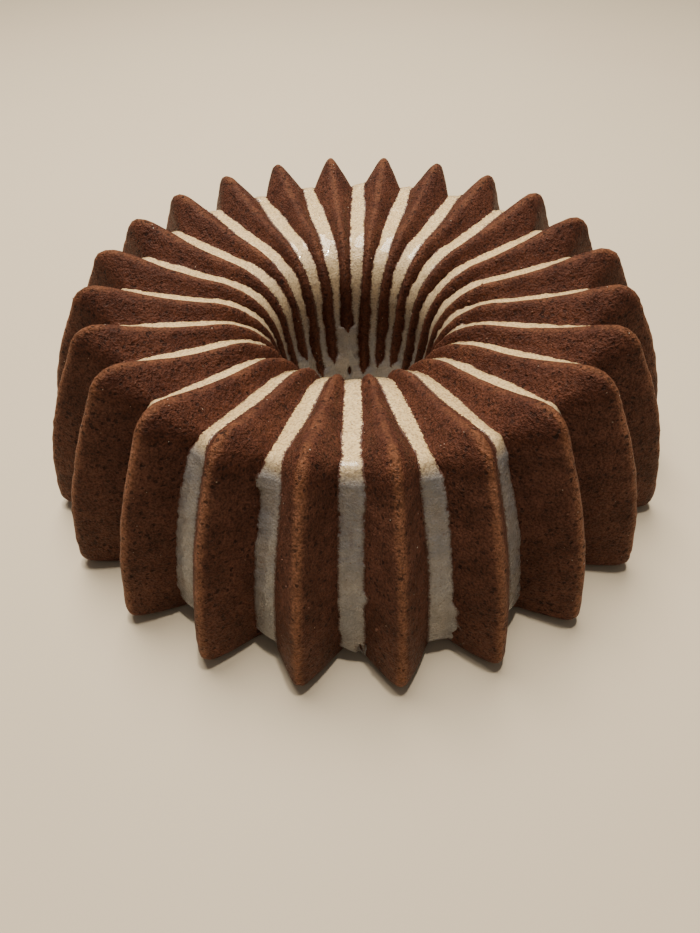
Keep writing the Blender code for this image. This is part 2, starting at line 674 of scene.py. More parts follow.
    def stream_body(self, run: Array) -> tuple[Array, Array, list]:
        """The joined body of all the streams.

        Across a stream, an even surface leads straight from edge to edge, raised by a crown of one
        less the square of the way out. Near the edges it turns to the edges' own wavering height,
        by the fourth power of the way out. Beyond each edge one line dips under the crust. A deeper
        row of three lines closes the body below.

        Returns:
            Vertices, their values, and faces. The values are the distance from the edge in metres, how filmy the glaze
            is with its painted shade, and how bare it leaves the crust.
        """
        form = self.form
        left, right, joined = self.edges(run, wavering=True)
        even_left, even_right, _ = self.edges(run, wavering=False)
        half_pitch = form.groove(run)[..., 0] * HALF_PITCH
        depth = form.depth(run)
        joined_left = np.roll(joined, 1, axis=0)
        way = np.sin(np.linspace(-1.3, 1.3, self.lines_inside + 1)) / math.sin(1.3)
        reach_left = np.where(joined_left, 0.90 * half_pitch, left)
        reach_right = np.where(joined, 0.90 * half_pitch, right)
        inner = 0.5 * (reach_right - reach_left)[..., None] + 0.5 * (reach_right + reach_left)[..., None] * way
        outer_left = np.where(joined_left, -half_pitch, -(left + self.skirt))
        outer_right = np.where(joined, half_pitch, right + self.skirt)
        lateral = np.concatenate([outer_left[..., None], inner, outer_right[..., None]], axis=-1)
        run_all = run[..., None] + self.end_shift(run, lateral)
        across = lateral / half_pitch[..., None]
        crust = form.flank(across, run_all)
        t = ((lateral + left[..., None]) / (left + right)[..., None]).clip(-0.2, 1.2)
        out = 2.0 * t - 1.0
        line = self.level(left, run)[..., None] * (1.0 - t) + self.level(right, run)[..., None] * t
        even = self.level(even_left, run)[..., None] * (1.0 - t) + self.level(even_right, run)[..., None] * t
        crown = (self.crown * np.minimum(1.0, (left + right) / (4.0 * MM)) / depth)[..., None]
        share = even + (line - even) * out**4 + crown * (1.0 - out**2) + (self.edge_height / depth)[..., None]
        angle = FRONT + 2 * HALF_PITCH * np.arange(FIN_COUNT)[:, None, None] + across * HALF_PITCH
        share = share + self.surface_relief(run_all, angle, share) / depth[..., None]
        share = self.dented(share, run_all, angle, depth)
        share = crust + (share - crust) * self.end_fall(run)[..., None]
        dipped = crust - (self.sunk / depth)[..., None]
        share[..., 0] = np.where(joined_left, share[..., 0], dipped[..., 0])
        share[..., -1] = np.where(joined, share[..., -1], dipped[..., -1])
        share[:, -1, :] = dipped[:, -1, :]
        top = form.place(run_all, angle, share)
        shared_line = 0.5 * (top[:, :, -1] + np.roll(top, -1, axis=0)[:, :, 0])
        top[:, :, -1] = np.where(joined[..., None], shared_line, top[:, :, -1])
        top[:, :, 0] = np.where(joined_left[..., None], np.roll(shared_line, 1, axis=0), top[:, :, 0])
        below_across = np.stack([across[..., 0], np.zeros_like(run), across[..., -1]], axis=-1)
        middle = self.lines_inside // 2 + 1
        below_run = np.stack([run_all[..., 0], run_all[..., middle], run_all[..., -1]], axis=-1)
        below_share = form.flank(below_across, below_run) - (self.under / depth)[..., None]
        below_angle = FRONT + 2 * HALF_PITCH * np.arange(FIN_COUNT)[:, None, None] + below_across * HALF_PITCH
        below = form.place(below_run, below_angle, below_share)
        points = np.concatenate([top, below], axis=2)
        from_edge = np.minimum(
            np.where(joined_left, FAR, left)[..., None] + lateral,
            np.where(joined, FAR, right)[..., None] - lateral,
        )
        from_edge = np.minimum(from_edge, (run[:, -1:] - run)[..., None])
        values = np.stack([from_edge, self.filminess(run, lateral), self.bareness(run, lateral)], axis=-1)
        below_values = np.broadcast_to(np.array([-self.skirt, 1.0, 0.0]), below.shape)
        values = np.concatenate([values, below_values], axis=2)
        faces = self.stream_faces(points.shape[:3], joined)
        used, place = np.unique(np.concatenate([np.array(face) for face in faces]), return_inverse=True)
        counts = [len(face) for face in faces]
        split = np.split(place, np.cumsum(counts)[:-1])
        faces = [face.tolist() for face in split]
        return points.reshape(-1, 3)[used], values.reshape(-1, 3)[used], faces

    def end_fall(self, run: Array) -> Array:
        """How much of its thickness is left near a stream's end.

        The end is round like a drop: the square root of one less the square of the way into it.
        """
        into_end = smooth_line(run, run[:, -1:] - 0.7 * self.end_length, run[:, -1:])
        return np.sqrt(np.clip(1.0 - into_end**2, 0.01, 1.0))

    def end_shift(self, run: Array, lateral: Array) -> Array:
        """How far each line is moved down the wall near its stream's end: the slant and the fingers."""
        near = smooth_line(run, run[:, -1:] - 9.0 * MM, run[:, -1:])[..., None] ** 2
        seat = np.arange(FIN_COUNT)[:, None, None] * 90.0 * MM + np.zeros_like(lateral)
        lane = np.stack([lateral, seat, np.zeros_like(lateral)], axis=-1)
        fingers = self.per_stream("ragged")[..., None] * (lattice_noise(lane, 1.3 * MM, 31) - 0.6)
        slant = self.per_stream("slant")[..., None] * lateral / self.half_widths[-1]
        return near * (slant + fingers)

    def surface_relief(self, run: Array, angle: Array, share: Array) -> Array:
        """Small lumps of the glaze's surface, in metres, and the fold of a second pour in the hole."""
        points = self.form.place(run, angle, share)
        lumps = 0.10 * lattice_noise(points, 2.6 * MM, 41) + 0.09 * lattice_noise(points, 1.3 * MM, 42)
        shoulder = self.form.corner_runs[2]
        lumps = lumps + 0.40 * lattice_noise(points, 1.5 * MM, 43) * bump(run, shoulder - 0.5 * MM, 2.6 * MM)
        turn = (angle - FRONT) / (2 * HALF_PITCH)
        fold = bump(turn, 12.45, 0.75) * (1.0 - smooth_step(run, 16.0 * MM, 17.2 * MM))
        return (lumps + 0.55 * fold) * MM

    def filminess(self, run: Array, lateral: Array) -> Array:
        """Where the glaze ran off and left only a milky film, from 0 to 1: partly thin glaze, partly painted shade on
        the wall and in the hole.

        It is full on top, and thins over the outer shoulder and down the hole. Soft noise varies it.
        """
        lip = self.form.corner_runs[0]
        seat = np.arange(FIN_COUNT)[:, None, None] * 70.0 * MM + np.zeros_like(lateral)
        lane = np.stack([run[..., None] + np.zeros_like(lateral), seat, lateral], axis=-1)
        cloud = 0.93 + 0.07 * lattice_noise(lane, 5.0 * MM, 62)
        in_hole = 1.0 - smooth_step(run, 0.30 * lip, 1.40 * lip)
        shoulder = self.form.corner_runs[2]
        on_wall = smooth_step(run, shoulder - 2.5 * MM, shoulder + 5.5 * MM)
        return (on_wall + in_hole)[..., None] * cloud

    def bareness(self, run: Array, lateral: Array) -> Array:
        """Where the crust shows through, from 0 to 1: in streaks down the wall, and near the ends."""
        seat = np.arange(FIN_COUNT)[:, None, None] * 70.0 * MM + np.zeros_like(lateral)
        lane = np.stack([run[..., None] / 6.0 + np.zeros_like(lateral), seat, lateral], axis=-1)
        streaks = smooth_step(lattice_noise(lane, 1.1 * MM, 61), -0.1, 0.7)
        shoulder, wall, base = self.form.corner_runs[2:]
        middle = 0.5 * (shoulder + wall)
        on_wall = bump(run, middle, 0.35 * (wall - shoulder)) + bump(run, base, 9.0 * MM)
        return on_wall[..., None] * streaks * self.per_stream("thin")[..., None]

    def dented(self, share: Array, run: Array, angle: Array, depth: Array) -> Array:
        """Presses the burst bubbles into the surface."""
        turn = (angle - FRONT) / HALF_PITCH
        for dent in self.dents:
            press = bump(run, dent.run, dent.length) * bump(turn, dent.turn, dent.width)
            share = share - dent.depth * press / depth[..., None]
        return share

    def stream_faces(self, shape: tuple, joined: Array) -> list:
        """The faces over, beside and under every stream, with each joined line shared by two streams.

        Returns:
            Lists of corners, counter-clockwise seen from outside the glaze.
        """
        grooves, steps, lines = shape
        index = np.arange(grooves * steps * lines).reshape(shape)
        last = lines - 4
        beyond = np.roll(index, -1, axis=0)
        index[:, :, last] = np.where(joined, beyond[:, :, 0], index[:, :, last])
        index[:, :, last + 3] = np.where(joined, beyond[:, :, last + 1], index[:, :, last + 3])
        here, after = index[:, :-1], index[:, 1:]

        def strip(first: int, second: int, keep: Array | None = None) -> Array:
            """Quads between two lines of every stream, from one step to the next."""
            corners = [here[..., first], after[..., first], after[..., second], here[..., second]]
            quads = np.stack(corners, axis=-1)
            return quads.reshape(-1, 4) if keep is None else quads[keep]

        open_right = ~joined[:, 1:]
        open_left = np.roll(open_right, 1, axis=0)
        quads = [strip(line, line + 1) for line in range(last)]
        quads += [strip(last + 2, last + 1), strip(last + 3, last + 2)]
        quads += [strip(last, last + 3, open_right), strip(last + 1, 0, open_left)]
        faces = np.vstack(quads).tolist()
        for step, reverse in ((0, False), (-1, True)):
            for groove in range(grooves):
                ring = index[groove, step, : last + 1].tolist() + index[groove, step, last + 3 : last : -1].tolist()
                faces.append(ring[::-1] if reverse else ring)
        return faces

    def drip_body(self, drip: Drip) -> tuple[Array, Array, list]:
        """A tongue of glaze lying on the flank beside a stream, round in section and closed.

        Along it the half width follows the fourth root of one less the fourth power of the way from
        its middle. Round it, the side reach is the cosine and the height the sine of the turn.
        """
        along, around = 26, 14
        way = np.linspace(-1.0, 1.0, along)[:, None]
        size = np.clip(1.0 - way**4, 0.0001, 1.0) ** 0.25
        size = size * (0.62 + 0.38 * smooth_step(way, -1.0, 0.9))
        turn = np.linspace(0.0, 2 * math.pi, around, endpoint=False)[None, :]
        top, bottom = self.form.wall_run(drip.top), self.form.wall_run(drip.bottom)
        run = 0.5 * (top + bottom) + 0.5 * (bottom - top) * way + np.zeros_like(turn)
        lane = np.stack([run, np.full_like(run, drip.groove), np.zeros_like(run)], axis=-1)
        drift = 0.35 * MM * lattice_noise(lane, 4.0 * MM, 51)
        lateral = drip.beside + drift + drip.half_width * size * np.cos(turn)
        half_pitch = self.form.groove(run)[..., 0] * HALF_PITCH
        across = lateral / half_pitch
        lift = np.where(np.sin(turn) > 0, drip.thickness, 0.5 * MM) * size * np.sin(turn)
        share = self.form.flank(across, run) + lift / self.form.depth(run)
        angle = FRONT + 2 * HALF_PITCH * drip.groove + across * HALF_PITCH
        points = self.form.place(run, angle, share).reshape(-1, 3)
        index = np.arange(along * around).reshape(along, around)
        beside = np.roll(index, -1, axis=1)
        quads = np.stack([index[:-1], beside[:-1], beside[1:], index[1:]], axis=-1).reshape(-1, 4).tolist()
        quads += [index[0][::-1].tolist(), index[-1].tolist()]
        # Drips are all film, with its painted shade.
        values = np.column_stack([0.5 * MM + lift.ravel(), np.ones(lift.size), np.zeros(lift.size)])
        return points, values, quads


# ----------------------------------------------------------------------------- scattered grains


@dataclass(frozen=True)
class Grains:
    """Many small angular grains of one kind, lying on a piece or half sunk in it."""

    name: str
    count: int
    smallest: float
    largest: float
    sunk: float
    seed: int

    def build(self, points: Array, normals: Array, finish: "Finish", weight: Array) -> bpy.types.Object:
        """Scatters the grains and joins them into one piece.

        Each grain is a ball of twelve corners and twenty faces whose corners are pulled in or out
        at random. It is stretched along its own three axes, turned at random, and set on the
        surface with its middle below it by the sunk share of its size.

        Args:
            points: places on the surface where a grain may lie.
            normals: the outward direction at each place.
            finish: what the grains are made of.
            weight: how likely a grain is at each place.

        Returns:
            The piece.
        """
        chance = np.random.default_rng(self.seed)
        spots = chance.choice(len(points), self.count, p=weight / weight.sum())
        size = self.smallest * (self.largest / self.smallest) ** chance.random(self.count) ** 1.6
        ball, faces = self.ball()
        corners = ball[None] * chance.uniform(0.72, 1.2, (self.count, len(ball), 1))
        corners = corners * chance.uniform(0.6, 1.25, (self.count, 1, 3)) * size[:, None, None] / 2
        turned = np.einsum("nij,nkj->nki", self.turns(chance), corners)
        jitter = chance.normal(0.0, 0.35 * MM, (self.count, 3))
        normal = normals[spots]
        jitter -= normal * np.sum(jitter * normal, axis=1, keepdims=True)
        centre = points[spots] + jitter - normal * (self.sunk * size)[:, None]
        vertices = (turned + centre[:, None]).reshape(-1, 3)
        offsets = np.arange(self.count)[:, None, None] * len(ball)
        return make_piece(self.name, vertices, (faces[None] + offsets).reshape(-1, 3), finish)

    def turns(self, chance: np.random.Generator) -> Array:
        """A random turn for each grain, as the rotation of a random unit quaternion."""
        w, x, y, z = np.moveaxis(chance.normal(size=(self.count, 4)), 1, 0)
        length = np.sqrt(w * w + x * x + y * y + z * z)
        w, x, y, z = w / length, x / length, y / length, z / length
        rows = [
            [1 - 2 * (y * y + z * z), 2 * (x * y - w * z), 2 * (x * z + w * y)],
            [2 * (x * y + w * z), 1 - 2 * (x * x + z * z), 2 * (y * z - w * x)],
            [2 * (x * z - w * y), 2 * (y * z + w * x), 1 - 2 * (x * x + y * y)],
        ]
        return np.moveaxis(np.array(rows), -1, 0)

    @staticmethod
    def ball() -> tuple[Array, Array]:
        """The corners and faces of an icosahedron, made by a mesh tool."""
        shape = bmesh.new()
        bmesh.ops.create_icosphere(shape, subdivisions=1, radius=1.0)
        corners = np.array([vertex.co[:] for vertex in shape.verts])
        faces = np.array([[vertex.index for vertex in face.verts] for face in shape.faces])
        shape.free()
        return corners, faces


# ----------------------------------------------------------------------------- material wiring


Feed = Any  # a socket to link from, or a constant


class Wiring:
    """Adds and joins the nodes of one material or node group."""

    def __init__(self, tree: bpy.types.NodeTree) -> None:
        """Works on the given tree."""
        self.tree = tree

    def node(self, kind: str, feeds: dict[str | int, Feed] | None = None, **settings: Any) -> bpy.types.Node:
        """Adds a node.

        Args:
            kind: the node's type.
            feeds: what goes into its inputs, by name or number.
            settings: its other properties.

        Returns:
            The node.
        """
        node = self.tree.nodes.new(kind)
        for key, value in settings.items():
            setattr(node, key, value)
        for key, value in (feeds or {}).items():
            self.feed(node.inputs[key], value)
        return node

    def feed(self, socket: bpy.types.NodeSocket, value: Feed) -> None:
        """Links a socket to an input, or sets a constant on it."""
        if isinstance(value, bpy.types.NodeSocket):
            self.tree.links.new(value, socket)
        else:
            socket.default_value = value

    def math(self, operation: str, *values: Feed) -> bpy.types.NodeSocket:
        """One sum or function of numbers."""
        return self.node("ShaderNodeMath", dict(enumerate(values)), operation=operation).outputs[0]

    def scaled(self, vector: Feed, factor: Feed) -> bpy.types.NodeSocket:
        """A vector times a number."""
        node = self.node("ShaderNodeVectorMath", {0: vector, "Scale": factor}, operation="SCALE")
        return node.outputs["Vector"]

    def ramp(self, value: Feed, low: Feed, high: Feed, start: float = 0.0, end: float = 1.0) -> bpy.types.NodeSocket:
        """A smooth step from start to end as the value goes from low to high."""
        feeds = {"Value": value, "From Min": low, "From Max": high, "To Min": start, "To Max": end}
        return self.node("ShaderNodeMapRange", feeds, interpolation_type="SMOOTHSTEP").outputs["Result"]

    def blend(self, factor: Feed, first: Feed, second: Feed, mode: str = "MIX") -> bpy.types.NodeSocket:
        """Two colours mixed by a factor."""
        feeds = {0: factor, 6: first, 7: second}
        return self.node("ShaderNodeMix", feeds, data_type="RGBA", blend_type=mode).outputs[2]

    def noise(self, vector: Feed, scale: Feed, detail: float = 2.0, rough: float = 0.5) -> bpy.types.NodeSocket:
        """Cloudy noise from 0 to 1."""
        feeds = {"Vector": vector, "Scale": scale, "Detail": detail, "Roughness": rough}
        return self.node("ShaderNodeTexNoise", feeds).outputs["Fac"]

    def attribute(self, name: str) -> bpy.types.NodeSocket:
        """A number that the mesh carries at each vertex."""
        return self.node("ShaderNodeAttribute", attribute_name=name).outputs["Fac"]

    def place(self) -> bpy.types.NodeSocket:
        """The position on the object."""
        return self.node("ShaderNodeTexCoord").outputs["Object"]

    def bump(self, height: Feed, distance: float, strength: float = 1.0) -> bpy.types.NodeSocket:
        """A normal tilted by a height."""
        feeds = {"Height": height, "Distance": distance, "Strength": strength}
        return self.node("ShaderNodeBump", feeds).outputs["Normal"]


@dataclass(frozen=True)
class Effect:
    """A node group that several finishes use, with its inputs and outputs by name."""

    name: str
    inputs: dict[str, float | None]
    outputs: tuple[str, ...]

    def group(self) -> bpy.types.NodeTree:
        """The node group, built the first time it is asked for."""
        made = bpy.data.node_groups.get(self.name)
        if made is not None:
            return made
        tree = bpy.data.node_groups.new(self.name, "ShaderNodeTree")
        for key, value in self.inputs.items():
            kind = "NodeSocketVector" if value is None else "NodeSocketFloat"
            socket = tree.interface.new_socket(key, in_out="INPUT", socket_type=kind)
            if value is not None:
                socket.default_value = value
        for key in self.outputs:
            tree.interface.new_socket(key, in_out="OUTPUT", socket_type="NodeSocketFloat")
        wiring = Wiring(tree)
        inlet = tree.nodes.new("NodeGroupInput").outputs
        outlet = tree.nodes.new("NodeGroupOutput").inputs
        for key, value in self.wire(wiring, inlet).items():
            wiring.feed(outlet[key], value)
        return tree

    def wire(self, wiring: Wiring, inlet: Any) -> dict[str, bpy.types.NodeSocket]:
        """Adds the group's nodes and gives what goes to each output."""
        raise NotImplementedError

    def use(self, wiring: Wiring, **feeds: Feed) -> Any:
        """Places the group in a material and gives its outputs."""
        node = wiring.tree.nodes.new("ShaderNodeGroup")
        node.node_tree = self.group()
        for key, value in feeds.items():
            wiring.feed(node.inputs[key], value)
        return node.outputs


class Spots(Effect):
    """Scattered spots of uneven size: pores, flecks or specks.

    Space is cut into cells. A spot stands round the middle of a share of the cells, and its radius
    is a random part of the largest size. Noise pushes the outline about.
    """

    def wire(self, wiring: Wiring, inlet: Any) -> dict[str, bpy.types.NodeSocket]:
        """Compares the distance from each cell's middle with the cell's own random radius."""
        scale = wiring.math("DIVIDE", 1.0, inlet["Spacing"])
        scaled = wiring.scaled(inlet["Vector"], scale)
        push = wiring.node("ShaderNodeTexNoise", {"Vector": scaled, "Scale": 3.0, "Detail": 1.0}).outputs["Color"]
        push = wiring.node("ShaderNodeVectorMath", {0: push, 1: (0.5, 0.5, 0.5)}, operation="SUBTRACT").outputs[0]
        push = wiring.scaled(push, inlet["Ragged"])
        place = wiring.node("ShaderNodeVectorMath", {0: scaled, 1: push}, operation="ADD").outputs[0]
        cells = wiring.node("ShaderNodeTexVoronoi", {"Vector": place, "Scale": 1.0, "Randomness": 1.0})
        chance = wiring.node("ShaderNodeSeparateColor", {0: cells.outputs["Color"]}).outputs
        held = wiring.math("LESS_THAN", chance[0], inlet["Share"])
        size = wiring.math("MULTIPLY_ADD", chance[1], 0.65, 0.35)
        radius = wiring.math("MULTIPLY", wiring.math("MULTIPLY", size, inlet["Size"]), held)
        inner = wiring.math("MULTIPLY", radius, 0.65)
        outer = wiring.math("ADD", radius, 0.0001)
        return {"Mask": wiring.ramp(cells.outputs["Distance"], outer, inner)}


class Grain(Effect):
    """The fine grain and the broad patches of something baked or set."""

    def wire(self, wiring: Wiring, inlet: Any) -> dict[str, bpy.types.NodeSocket]:
        """Takes noise of the two sizes, each stretched to fill 0 to 1."""
        fine = wiring.noise(inlet["Vector"], wiring.math("DIVIDE", 1.0, inlet["Fine"]), 3.0, 0.6)
        broad = wiring.noise(inlet["Vector"], wiring.math("DIVIDE", 1.0, inlet["Broad"]), 3.0, 0.55)
        return {"Fine": wiring.ramp(fine, 0.28, 0.72), "Broad": wiring.ramp(broad, 0.32, 0.68)}


SPOTS = Spots("scattered_spots", {"Vector": None, "Spacing": 0.002, "Size": 0.3, "Share": 0.5, "Ragged": 0.3}, ("Mask",))
GRAIN = Grain("grain_and_patches", {"Vector": None, "Fine": 0.0008, "Broad": 0.012}, ("Fine", "Broad"))


# ----------------------------------------------------------------------------- finishes

Colour = tuple[float, float, float, float]


@dataclass(frozen=True)
class Finish:
    """A material that a piece can wear, made once."""

    name: str

    def material(self) -> bpy.types.Material:
        """The material, built the first time it is asked for."""
        made = bpy.data.materials.get(self.name)
        if made is not None:
            return made
        material = bpy.data.materials.new(self.name)
        material.use_nodes = True
        shader = material.node_tree.nodes["Principled BSDF"]
        self.dress(Wiring(material.node_tree), shader)
        return material

    def dress(self, wiring: Wiring, shader: bpy.types.Node) -> None:
        """Feeds the shader."""
        raise NotImplementedError


@dataclass(frozen=True)
class CrustFinish(Finish):
    """Dark brown baked crust with fine pores: darker on top as painted shade and lighter on the wall as painted light,
    lighter on its crests partly from wear and partly as a painted highlight, with painted shade in its pits and specks
    that are partly painted glints.
    """

    name: str = "baked_crust"
    # Colours on top: flank and patch painted darker, as painted shade, and redder.
    top_flank_shaded: Colour = (0.069, 0.0225, 0.0130, 1.0)
    top_patch_shaded: Colour = (0.098, 0.0335, 0.0185, 1.0)
    # Crest colour on top: partly worn crust, partly a painted highlight.
    top_crest_worn_lit: Colour = (0.140, 0.053, 0.0240, 1.0)
    # Colours on the wall: flank and patch painted lighter, as painted light.
    flank: Colour = (0.091, 0.0355, 0.0215, 1.0)
    wall_patch_lit: Colour = (0.132, 0.0530, 0.0330, 1.0)
    # Crest colour on the wall: partly worn crust, partly a painted highlight, brighter still as painted light.
    wall_crest_worn_lit: Colour = (0.235, 0.100, 0.0540, 1.0)
    # Pit colour: painted shade in the pores.
    pit_shade: Colour = (0.022, 0.009, 0.006, 1.0)
    # Speck colour: partly sugar, partly painted glints.
    sugar: Colour = (0.45, 0.33, 0.24, 1.0)

    def dress(self, wiring: Wiring, shader: bpy.types.Node) -> None:
        """Mixes flank and patches, painted shaded on top and lit on the wall, and the crests' wear with its painted
        highlight, then the pits' painted shade and the specks of sugar and painted glints, and raises the grain.
        """
        place = wiring.place()
        wall = wiring.attribute("wall")
        grain = GRAIN.use(wiring, Vector=place, Fine=1.7 * MM, Broad=9.0 * MM)
        coarse = SPOTS.use(wiring, Vector=place, Spacing=4.4 * MM, Size=0.22, Share=0.50, Ragged=0.6)["Mask"]
        pores = SPOTS.use(wiring, Vector=place, Spacing=1.8 * MM, Size=0.44, Share=0.62, Ragged=0.6)["Mask"]
        # Specks: partly sugar, partly painted glints.
        sugar_and_glint_specks = SPOTS.use(wiring, Vector=place, Spacing=3.6 * MM, Size=0.08, Share=0.35, Ragged=0.1)["Mask"]
        # The crest band: partly worn crust, partly a painted highlight on the crests.
        patchy = wiring.math("MULTIPLY_ADD", grain["Broad"], 0.30, wiring.attribute("crest"))
        worn_and_lit = wiring.ramp(wiring.math("MULTIPLY_ADD", grain["Fine"], 0.20, patchy), 0.42, 1.35)
        # Painted shade on top and painted light on the wall, switched by the wall attribute.
        on_top = wiring.blend(grain["Broad"], self.top_flank_shaded, self.top_patch_shaded)
        on_wall = wiring.blend(grain["Broad"], self.flank, self.wall_patch_lit)
        base = wiring.blend(wall, on_top, on_wall)
        base = wiring.blend(worn_and_lit, base, wiring.blend(wall, self.top_crest_worn_lit, self.wall_crest_worn_lit))
        crumb = GRAIN.use(wiring, Vector=place, Fine=0.70 * MM, Broad=3.0 * MM)
        shade = wiring.math("MULTIPLY_ADD", crumb["Broad"], 0.22, wiring.ramp(crumb["Fine"], 0.0, 1.0, 0.52, 1.26))
        tint = wiring.node("ShaderNodeCombineColor", {0: shade, 1: shade, 2: shade}).outputs[0]
        base = wiring.blend(1.0, base, tint, "MULTIPLY")
        # Pits and pores painted dark, as painted shade; the same mask sinks them in the bump.
        deep = wiring.math("MAXIMUM", coarse, wiring.math("MULTIPLY", pores, 0.8))
        base = wiring.blend(wiring.math("MULTIPLY", deep, 0.88), base, self.pit_shade)
        wiring.feed(shader.inputs["Base Color"], wiring.blend(sugar_and_glint_specks, base, self.sugar))
        wiring.feed(shader.inputs["Roughness"], wiring.ramp(grain["Fine"], 0.0, 1.0, 0.66, 0.50))
        height = wiring.math("MULTIPLY_ADD", crumb["Fine"], 0.80, grain["Fine"])
        height = wiring.math("MULTIPLY_ADD", deep, -1.5, height)
        wiring.feed(shader.inputs["Normal"], wiring.bump(height, 0.30 * MM, 0.9))
        shader.inputs["Specular IOR Level"].default_value = 0.12


@dataclass(frozen=True)
class GlazeFinish(Finish):
    """Cream sugar glaze with dark flecks: a milky film where it is thin, darkened on the wall and in the hole by
    painted shade, with ragged edges.
    """

    name: str = "sugar_glaze"
    cream: Colour = (0.88, 0.63, 0.30, 1.0)
    shade: Colour = (0.45, 0.30, 0.14, 1.0)
    # Film colours: partly thin glaze, partly painted shade on the wall and in the hole.
    film: Colour = (0.224, 0.217, 0.218, 1.0)
    milky_shade: Colour = (0.172, 0.166, 0.168, 1.0)
    veil: Colour = (0.130, 0.100, 0.090, 1.0)
    fleck: Colour = (0.16, 0.085, 0.045, 1.0)
    bare: Colour = (0.085, 0.034, 0.020, 1.0)

    def dress(self, wiring: Wiring, shader: bpy.types.Node) -> None:
        """Mixes cream and its darker tone, then the film with its painted shade, the flecks and the edges, and raises
        fine lumps.
        """
        place = wiring.place()
        film = wiring.attribute("film")
        grain = GRAIN.use(wiring, Vector=place, Fine=0.8 * MM, Broad=3.2 * MM)
        flecks = SPOTS.use(wiring, Vector=place, Spacing=1.6 * MM, Size=0.26, Share=0.40, Ragged=0.5)["Mask"]
        mottle = wiring.math("MULTIPLY", wiring.ramp(grain["Fine"], 0.35, 1.0), 0.75)
        mottle = wiring.math("MULTIPLY_ADD", grain["Broad"], 0.25, mottle)
        base = wiring.blend(mottle, self.cream, self.shade)
        # The film blend: partly thin glaze, partly painted shade on the wall and in the hole.
        base = wiring.blend(film, base, wiring.blend(grain["Broad"], self.film, self.milky_shade))
        base = wiring.blend(wiring.math("MULTIPLY", flecks, 0.6), base, self.fleck)
        inside = wiring.math("MULTIPLY_ADD", grain["Fine"], -0.80, wiring.attribute("edge"))
        veil = wiring.math("MULTIPLY", wiring.ramp(inside, 1.10, 0.05), film)
        base = wiring.blend(wiring.math("MULTIPLY", veil, 0.75), base, self.veil)
        bare = wiring.math("MAXIMUM", wiring.ramp(inside, 0.14, -0.06), wiring.attribute("bare"))
        wiring.feed(shader.inputs["Base Color"], wiring.blend(bare, base, self.bare))
        wiring.feed(shader.inputs["Roughness"], wiring.ramp(grain["Broad"], 0.0, 1.0, 0.20, 0.48))
        height = wiring.math("MULTIPLY_ADD", flecks, -0.5, grain["Fine"])
        wiring.feed(shader.inputs["Normal"], wiring.bump(height, 0.16 * MM, 0.8))
        wet = wiring.ramp(grain["Fine"], 0.30, 0.60, 0.20, 1.0)
        wiring.feed(shader.inputs["Coat Weight"], wiring.math("MULTIPLY", wet, wiring.ramp(bare, 0.0, 1.0, 1.0, 0.0)))
        shader.inputs["Coat Roughness"].default_value = 0.04
        shader.inputs["Subsurface Weight"].default_value = 0.10
        shader.inputs["Subsurface Radius"].default_value = (1.0, 0.7, 0.4)
        shader.inputs["Subsurface Scale"].default_value = 1.0 * MM


@dataclass(frozen=True)
class GrainFinish(Finish):
    """Small grains of one colour that varies a little from spot to spot."""

    colour: Colour
    darker: Colour
    roughness: float = 0.7

    def dress(self, wiring: Wiring, shader: bpy.types.Node) -> None:
        """Mixes the two colours over the patches and the pores; the darker colour in the pores is painted shade."""
        place = wiring.place()
        grain = GRAIN.use(wiring, Vector=place, Fine=0.4 * MM, Broad=2.5 * MM)
        pores = SPOTS.use(wiring, Vector=place, Spacing=0.5 * MM, Size=0.4, Share=0.5, Ragged=0.3)["Mask"]
        # Darker in patches as tone, and in the pores as painted shade.
        darker = wiring.math("MAXIMUM", grain["Broad"], pores)
        wiring.feed(shader.inputs["Base Color"], wiring.blend(darker, self.colour, self.darker))
        wiring.feed(shader.inputs["Normal"], wiring.bump(grain["Fine"], 0.1 * MM, 0.6))
        shader.inputs["Roughness"].default_value = self.roughness


# ----------------------------------------------------------------------------- the studio


